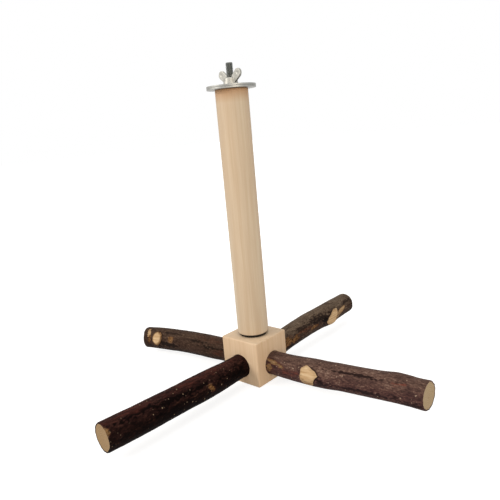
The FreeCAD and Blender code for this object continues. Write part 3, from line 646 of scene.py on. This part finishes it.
def sculptBranch(facts, points, seed):
    # where the branch's points lie, their grain and marks; each keeps its angle and share of the radius
    end = branchMesh["hubFace"] + facts["length"]
    rings = [(branchMesh["hubFace"] + share * facts["length"], *rest) for share, *rest in facts["rings"]]
    u = points[:, 0]
    share = np.hypot(points[:, 1], points[:, 2]) / branchMesh["radius"]
    angle = np.arctan2(points[:, 2], points[:, 1])
    y, z = np.cos(angle) * branchMesh["skin"], np.sin(angle) * branchMesh["skin"]
    side, rise, radius = (smoothThrough(rings, u, column) for column in (1, 2, 3))
    fade = np.clip((u - branchMesh["fadeStart"]) / branchMesh["fadeLength"], 0, 1)
    skin = sum(height * noiseAt(u, y, z, (long, wide), seed + shift)
               for height, long, wide, shift in branchMesh["waves"])
    reach = radius + skin * fade
    bare, stain, dark = (np.zeros(len(u)) for mark in range(3))
    ragged = noiseAt(u, y, z, (5, 3), seed + 23)
    jagged = noiseAt(u, y, z, (2.6, 1.5), seed + 31)
    for peel in facts["peels"]:
        near = nearness(peel, u, angle, radius) + 0.5 * ragged
        depth = np.clip(near * min(peel["long"], peel["wide"]) / 3 + 0.5, 0, 1)
        bare = np.maximum(bare, depth)
        stain = np.where(depth > 0.3, peel["amount"], stain)
        reach -= branchMesh["peelDepth"] * np.clip(depth * 2 - 0.7, 0, 1) * fade
    for red in facts["reds"]:
        near = nearness(red, u, angle, radius) + 0.5 * ragged
        stain = np.where(bare < 0.3, np.maximum(stain, red["amount"] * np.clip(near * 2, 0, 1)), stain)
    for knot in facts["knots"]:
        away = np.clip(1 - nearness(knot, u, angle, radius), 0, 3)
        reach += knot["amount"] * np.exp(-1.1 * away ** 2.4)
    for cut in facts["cuts"]:
        # the twig was sawn off and the stump planed flat; the bark's broken edge stands round it
        inside = insideOutline(cut["outline"], u, angle) + 0.5 * ragged
        cutU, cutAngle, stand, lean = cut["plane"]
        slope = np.maximum(np.cos(angle - math.radians(cutAngle)), 0.3)
        plane = np.minimum((stand + lean * (u - cutU)) / slope, reach)
        flattened = reach + (plane - reach) * np.clip((inside + 0.2) / 0.5, 0, 1)
        reach = np.where(inside > -0.2, flattened, reach)
        depth = np.clip(inside / 0.7 + 0.5, 0, 1)
        bare = np.maximum(bare, 1.6 * depth)
        first, last, most = cut["stained"]
        dirty = most * np.clip((turnedNear(angle, cutAngle) - first) / (last - first), 0, 1)
        brown = cut["rim"] * np.clip(1 - inside / 2.2, 0, 1)
        stain = np.where(depth > 0.1, np.maximum(brown, dirty), stain)
        # a dark strip round the outline, mostly just outside it, growing towards the end of the cut that
        # lip names
        sideways = np.clip(0.4 + 0.12 * cut["lip"] * (u - cutU), 0, 1) * abs(cut["lip"])
        dark = np.maximum(dark, 1.4 * sideways * np.clip(1 - np.abs(inside + 0.5) / 0.7, 0, 1))
    for groove in facts["darks"]:
        near = nearness(groove, u, angle, radius) + 0.5 * ragged + 1.1 * jagged
        dark = np.maximum(dark, groove["amount"] * np.clip(near * 2, 0, 1))
    # the rim is eased, the tenon stays in its socket, and the saw has left its marks
    toEnd = np.clip(1 - (end - u) / branchMesh["rimLength"], 0, 1)
    reach -= toEnd ** 2 * branchMesh["rimDrop"] * (1 + ragged)
    reach = np.where(u < branchMesh["fadeStart"], np.minimum(reach, branchMesh["tenonReach"]), reach)
    y, z = np.cos(angle) * reach * share, np.sin(angle) * reach * share
    sawn = (share < 0.99) & (u > end - 1)
    sawMarks = noiseAt(y * 0 + seed, y, z * 4, (1, 5), seed)
    u = np.where(sawn, u - branchMesh["sawDepth"] * (1 + sawMarks), u)
    # the saw cut looks a little to one side, and the rim there may be whittled round
    nearEnd = np.clip(1 - (end - u) / branchMesh["turnReach"], 0, 1)
    whittled = facts["rounding"] * np.clip(y / branchMesh["radius"], 0, 1) ** 2
    u = u - nearEnd * (y * math.tan(math.radians(facts["turn"])) + whittled)
    placed = np.stack((u, side + y, hub["socketHeight"] + rise + z), axis=1)
    grain = np.stack((u + 400 * seed, y, z), axis=1) * mm
    return placed, grain, np.stack((bare, stain, dark), axis=1), share


def makeBranch(name, facts, seed):
    title = name.capitalize()
    piece = addCylinder("branch" + title, branchMesh["radius"], branchMesh["start"],
                        branchMesh["hubFace"] + facts["length"], branchMesh["sides"], along="x")
    selectWhere(piece, "FACE", lambda face: abs(face.normal.x) > 0.9)
    for width in branchMesh["rimInsets"]:
        bpy.ops.mesh.inset(thickness=width * mm)
    bpy.ops.mesh.poke()
    leaveEdit()
    addRings(piece, 0, branchMesh["cuts"])
    points, grain, marks, share = sculptBranch(facts, readPoints(piece), seed)
    writePoints(piece, points)
    for attribute, values in (("grain", grain), ("marks", marks)):
        layer = piece.data.attributes.new(attribute, "FLOAT_VECTOR", "POINT")
        layer.data.foreach_set("vector", values.ravel())
    turnPiece(piece, headings[name])
    pith = (0, 0.0012 * math.cos(seed), 0.0014 * math.sin(seed))
    bark = makeBark("bark" + title, facts["bark"])
    cut = makeCutWood("sawnEnd" + title, dict(facts["end"], pith=pith))
    finishPiece(piece, "cross_body", "bark", ["branch_" + name], bark, cut)
    for polygon in piece.data.polygons:
        if max(share[i] for i in polygon.vertices) < branchMesh["woodShare"]:
            polygon.material_index = 1


for seed, (name, facts) in enumerate(branches.items(), start=1):
    makeBranch(name, facts, seed)


# The washers: punched discs, their edges rounded by tumbling

usualWasher = dict(bore=3.2, edge=0.25, body="stem_body", slot="zinc_plate", material=plateZinc)
washers = dict(
    seatWasher=dict(radius=20, low=249, high=250.5, node="seat_washer"),
    cageWasher=dict(radius=20, low=250.5, high=252, node="cage_washer", body="cage_washer_body"),
    # the pivot washer is black as painted shade for the gap between stem and hub
    pivotWasher=dict(radius=12, low=40, high=42, node="pivot_washer", material=gapShadeSteel),
    nutWasher=dict(radius=6, low=7.6, high=8.8, node="nut_washer", edge=0.2),
    lockRing=dict(radius=4.2, low=1.6, high=3.2, node="lock_nut_ring", bore=3.05, edge=0.3, slot="nylon",
                  material=nylon),
)


def makeWasher(name, facts):
    piece = addCylinder(name, facts["radius"], facts["low"], facts["high"], sides=128)
    selectWhere(piece, "FACE", lambda face: abs(face.normal.z) > 0.9)
    bpy.ops.mesh.inset(thickness=(facts["radius"] - facts["bore"]) * mm)
    bpy.ops.mesh.delete(type="FACE")
    inside = (facts["bore"] + 0.05) * mm
    selectWhere(piece, "EDGE", lambda edge: all(vert.co.xy.length < inside for vert in edge.verts))
    bpy.ops.mesh.bridge_edge_loops()
    selectWhere(piece, "EDGE", lambda edge: len(edge.link_faces) == 2 and edge.calc_face_angle() > 1)
    bpy.ops.mesh.bevel(offset=facts["edge"] * mm, segments=4, affect="EDGES")
    bpy.ops.mesh.select_all(action="SELECT")
    bpy.ops.mesh.normals_make_consistent(inside=False)
    leaveEdit()
    finishPiece(piece, facts["body"], facts["slot"], [facts["node"]], facts["material"])


for name, facts in washers.items():
    makeWasher(name, {**usualWasher, **facts})


# Bolts and screws: turned to a profile, then threaded

rods = dict(
    hangerBolt=dict(radius=3, low=221, high=269.3, node="hanger_bolt", rings=(19, 16),
                    profile=((221, 0.8), (226, 3), (268.8, 3), (269.3, 2.5)),
                    threads=((221.5, 241, 2.5, 0.75), (246, 270, 1.0, 0.58))),
    pivotBolt=dict(radius=3, low=0.6, high=70, node="pivot_bolt", rings=(22, 20),
                   profile=((0.6, 2.5), (1.1, 3), (65, 3), (70, 0.8)),
                   threads=((0, 40, 1.0, 0.58), (44, 69.5, 2.5, 0.75))),
)


def shapeRod(piece, facts, place=(0, 0)):
    # turns the rod to its profile and cuts its threads; crests keep the full radius
    points = readPoints(piece)
    away = points[:, :2] - np.array(place)
    share = np.hypot(away[:, 0], away[:, 1]) / facts["radius"]
    angle = np.arctan2(away[:, 1], away[:, 0])
    z = points[:, 2]
    reach = np.interp(z, *zip(*facts["profile"]))
    for low, high, pitch, depth in facts["threads"]:
        phase = (z / pitch - angle / (2 * math.pi)) % 1
        flank = np.clip(np.abs(phase - 0.5) * 2.6 - 0.15, 0, 1)
        runOut = np.clip((z - low) / pitch, 0, 1) * np.clip((high - z) / pitch, 0, 1)
        grooved = facts["radius"] - depth * flank * runOut
        reach = np.minimum(reach, grooved)
    points[:, 0] = place[0] + np.cos(angle) * reach * share
    points[:, 1] = place[1] + np.sin(angle) * reach * share
    writePoints(piece, points)


for name, facts in rods.items():
    rod = addCylinder(name, facts["radius"], facts["low"], facts["high"], sides=48)
    addRings(rod, 2, facts["rings"])
    shapeRod(rod, facts)
    finishPiece(rod, "stem_body", "zinc_thread", [facts["node"]], dullZinc)

screw = dict(radius=1.5, low=0.3, high=16, rings=(8, 14),
             profile=((0.3, 3.2), (0.5, 3.2), (2.2, 1.5), (13, 1.5), (16, 0.1)),
             threads=((3.5, 15.5, 1.3, 0.4),),
             slotWidth=0.95, slotLength=3.6, slotDepth=1.5, slotTurns=(20, 110))


def makeScrews():
    made = []
    for name, heading in headings.items():
        place = Matrix.Rotation(math.radians(heading), 2) @ Vector((hub["screwOut"], socketShifts[name]))
        piece = addCylinder("screw" + name.capitalize(), screw["radius"], screw["low"], screw["high"],
                            sides=40, place=place)
        addRings(piece, 2, screw["rings"])
        shapeRod(piece, screw, place)
        for turn in screw["slotTurns"]:
            deselectAll()
            bpy.ops.mesh.primitive_cube_add(
                size=1, location=(place[0] * mm, place[1] * mm, screw["low"] * mm),
                rotation=(0, 0, math.radians(turn + heading)),
                scale=(screw["slotLength"] * mm, screw["slotWidth"] * mm, 2 * screw["slotDepth"] * mm))
            cutter = namePiece("slotCutter")
            selectWhere(cutter, "FACE", lambda face: face.normal.z > 0.9)
            bpy.ops.transform.resize(value=(0.5, 0.5, 1))
            leaveEdit()
            carve(piece, cutter)
        made.append(piece)
    piece = joinPieces(made)
    piece.name = piece.data.name = "branchScrews"
    finishPiece(piece, "cross_body", "zinc_thread", ["branch_screws"], dullZinc)


makeScrews()


# The lock nut: a hexagon with chamfered corners, and a round collar that holds the plastic ring

lockNut = dict(corner=5.7735, low=1.6, high=7.6, overlap=0.2, chamfer=0.55, collar=4.95, collarTop=3.3,
               collarDepth=0.5, collarEdge=0.5, bore=3.05, seat=4.25, seatTop=3.2)


def makeLockNut():
    bottom = lockNut["collarTop"] - lockNut["overlap"]
    piece = addCylinder("lockNut", lockNut["corner"], bottom, lockNut["high"], sides=6)
    turnPiece(piece, 30)
    turned = addCylinder("nutChamfer", lockNut["corner"], bottom, lockNut["high"], sides=96)
    selectWhere(turned, "EDGE", lambda edge: abs(edge.verts[0].co.z - edge.verts[1].co.z) < tiny)
    bpy.ops.mesh.bevel(offset=lockNut["chamfer"] * mm, segments=1, affect="EDGES")
    leaveEdit()
    carve(piece, turned, "INTERSECT")
    collar = addCylinder("nutCollar", lockNut["collar"], lockNut["low"],
                         lockNut["collarTop"] + lockNut["collarDepth"], sides=96)
    foot = lockNut["low"] * mm + tiny
    selectWhere(collar, "EDGE", lambda edge: max(vert.co.z for vert in edge.verts) < foot)
    bpy.ops.mesh.bevel(offset=lockNut["collarEdge"] * mm, segments=4, affect="EDGES")
    leaveEdit()
    carve(piece, collar, "UNION")
    carve(piece, addCylinder("nutBore", lockNut["bore"], 0, 9, sides=64))
    carve(piece, addCylinder("ringSeat", lockNut["seat"], 0, lockNut["seatTop"], sides=64))
    finishPiece(piece, "stem_body", "zinc_plate", ["lock_nut"], plateZinc)


makeLockNut()


# The wing nut: cast in one, so its boss and wings run into each other

wingNut = dict(low=252, footRadius=6.2, topRadius=5.4, height=5, crown=1.0, crownSteps=(0.45, 0.35, 0.2),
               thickness=2.1, rootOut=2.6, rootRise=3.0, rootRadius=2.9, tipOut=10, tipRise=8.6,
               tipRadius=3.4, edge=0.6, turn=-7.5, bore=3.05, boreDepth=13, voxel=0.2, pocket=1.5,
               pocketLift=0.15, dimple=0.3)


def makeWing(side):
    # a root disc and a tip disc, wrapped in one skin
    half = wingNut["thickness"] / 2
    wing = joinPieces([
        addCylinder("wingDisc", wingNut[part + "Radius"], -half, half, sides=48, along="y",
                    place=(side * wingNut[part + "Out"], wingNut["low"] + wingNut[part + "Rise"]))
        for part in ("root", "tip")])
    bpy.ops.object.mode_set(mode="EDIT")
    bpy.ops.mesh.select_all(action="SELECT")
    bpy.ops.mesh.convex_hull()
    leaveEdit()
    applyModifier(wing, "BEVEL", width=wingNut["edge"] * mm, segments=4, limit_method="ANGLE",
                  angle_limit=math.radians(60))
    # the shallow pocket that the casting has in both faces of each wing
    for face in (-1, 1):
        deselectAll()
        bpy.ops.mesh.primitive_uv_sphere_add(
            segments=32, ring_count=16, radius=mm,
            location=(side * wingNut["tipOut"] * mm,
                      face * (half + wingNut["pocketLift"]) * mm,
                      (wingNut["low"] + wingNut["tipRise"]) * mm),
            scale=(wingNut["pocket"], wingNut["dimple"] + wingNut["pocketLift"], wingNut["pocket"]))
        carve(wing, namePiece("pocketCutter"))
    return wing


def makeWingNut():
    deselectAll()
    bpy.ops.mesh.primitive_cone_add(
        vertices=96, radius1=wingNut["footRadius"] * mm, radius2=wingNut["topRadius"] * mm,
        depth=wingNut["height"] * mm, location=(0, 0, (wingNut["low"] + wingNut["height"] / 2) * mm))
    boss = namePiece("wingNut")
    selectWhere(boss, "FACE", lambda face: face.normal.z > 0.9)
    # the crown rises in shorter and shorter steps and draws in more at each
    for step in wingNut["crownSteps"]:
        bpy.ops.mesh.extrude_region_move(
            TRANSFORM_OT_translate={"value": (0, 0, step * wingNut["crown"] * mm)})
        shrink = 1 - (0.5 - step) * 0.35 - 0.02
        bpy.ops.transform.resize(value=(shrink, shrink, 1))
    leaveEdit()
    joinPieces([boss] + [makeWing(side) for side in (-1, 1)])
    applyModifier(boss, "REMESH", mode="VOXEL", voxel_size=wingNut["voxel"] * mm)
    applyModifier(boss, "SMOOTH", factor=0.5, iterations=5)
    carve(boss, addCylinder("nutThread", wingNut["bore"], wingNut["low"] - 1,
                            wingNut["low"] + wingNut["boreDepth"], sides=96))
    turnPiece(boss, wingNut["turn"])
    finishPiece(boss, "wing_nut_body", "zinc_cast", ["wing_nut"], castZinc)


makeWingNut()


# Floor, camera and studio light

studio = dict(floorSize=12, floorDrop=0.0002, nearGlow=0.77, glowFrom=0.25, glowTo=0.9, ambient=0.48,
              aim=(0, 0, 0.1))


def addSeenDirectly(tree):
    # 1 where the camera looks, also through a mirror or glass, and 0 for the light that falls on the object
    path = addNode(tree, "LightPath", {})
    seen = addNode(tree, "Math", {"operation": "MAXIMUM"},
                   {0: path.outputs["Is Camera Ray"], 1: path.outputs["Is Glossy Ray"]})
    return addNode(tree, "Math", {"operation": "MAXIMUM"},
                   {0: seen, 1: path.outputs["Is Transmission Ray"]})


def makeFloor():
    deselectAll()
    bpy.ops.mesh.primitive_plane_add(size=studio["floorSize"], location=(0, 0, -studio["floorDrop"]))
    floor = namePiece("floor")
    material = bpy.data.materials.new("whiteStudioFloor")
    tree = startTree(material)
    # the floor's own white grows with the distance, so that it runs into the background
    away = addNode(tree, "VectorMath", {"operation": "LENGTH"},
                   {0: addNode(tree, "TexCoord", {}).outputs["Object"]})
    strength = addNode(tree, "MapRange", {"From Min": studio["glowFrom"], "From Max": studio["glowTo"],
                                          "To Min": studio["nearGlow"], "To Max": 1},
                       {"Value": away.outputs["Value"]})
    glow = addNode(tree, "Emission", {}, {"Strength": strength})
    shown = addSeenDirectly(tree)
    # it throws its full white back on the object
    tint = addNode(tree, "Mix", {"data_type": "RGBA", 6: colour("#e4e4e4"), 7: colour("#b8b8b8")},
                   {0: shown})
    paper = addNode(tree, "BsdfDiffuse", {}, {"Color": tint})
    unlit = addNode(tree, "Emission", {"Strength": 0})
    extra = addNode(tree, "MixShader", {}, {0: shown, 1: unlit, 2: glow})
    both = addNode(tree, "AddShader", {}, {0: paper, 1: extra})
    addNode(tree, "OutputMaterial", {}, {"Surface": both})
    floor.data.materials.append(material)


def makeWorld():
    world = bpy.data.worlds.new("studio")
    bpy.context.scene.world = world
    tree = startTree(world)
    soft = addNode(tree, "Background", {"Color": (1, 1, 1, 1), "Strength": studio["ambient"]})
    white = addNode(tree, "Background", {"Color": (1, 1, 1, 1), "Strength": 1})
    both = addNode(tree, "MixShader", {}, {0: addSeenDirectly(tree), 1: soft, 2: white})
    addNode(tree, "OutputWorld", {}, {"Surface": both})


def addLamp(name, place, size, power, tint):
    data = bpy.data.lights.new(name, "AREA")
    data.shape, data.size, data.energy, data.color = "DISK", size, power, colour(tint)[:3]
    lamp = bpy.data.objects.new(name, data)
    bpy.context.scene.collection.objects.link(lamp)
    lamp.location = place
    lamp.rotation_euler = (Vector(studio["aim"]) - Vector(place)).to_track_quat("-Z", "Y").to_euler()


lamps = dict(
    key=dict(place=(-0.95, -1.5, 1.05), size=0.9, power=22.5, tint="#fffaf4"),
    top=dict(place=(0.1, 0.2, 1.9), size=1.4, power=8.8, tint="#ffffff"),
    fill=dict(place=(1.7, -0.95, 0.6), size=1.1, power=17, tint="#fff2e0"),
)
# the camera that the photograph's hub, stem and washers agree with: 540 pixels of focal length in 500
camera = dict(place=(0.30780, -0.33140, 0.21956), right=(0.74842, 0.65756, -0.08663),
              up=(-0.08529, 0.22495, 0.97064), back=(0.65773, -0.71905, 0.22444), lens=38.88, sensor=36)


def makeCamera():
    data = bpy.data.cameras.new("camera")
    data.lens, data.sensor_width, data.clip_start = camera["lens"], camera["sensor"], 0.01
    eye = bpy.data.objects.new("camera", data)
    bpy.context.scene.collection.objects.link(eye)
    turn = Matrix((camera["right"], camera["up"], camera["back"])).transposed().to_4x4()
    eye.matrix_world = Matrix.Translation(camera["place"]) @ turn
    bpy.context.scene.camera = eye


makeFloor()
makeWorld()
for name, facts in lamps.items():
    addLamp(name, **facts)
makeCamera()
bpy.context.scene.view_settings.view_transform = "Standard"
print("studio ready")
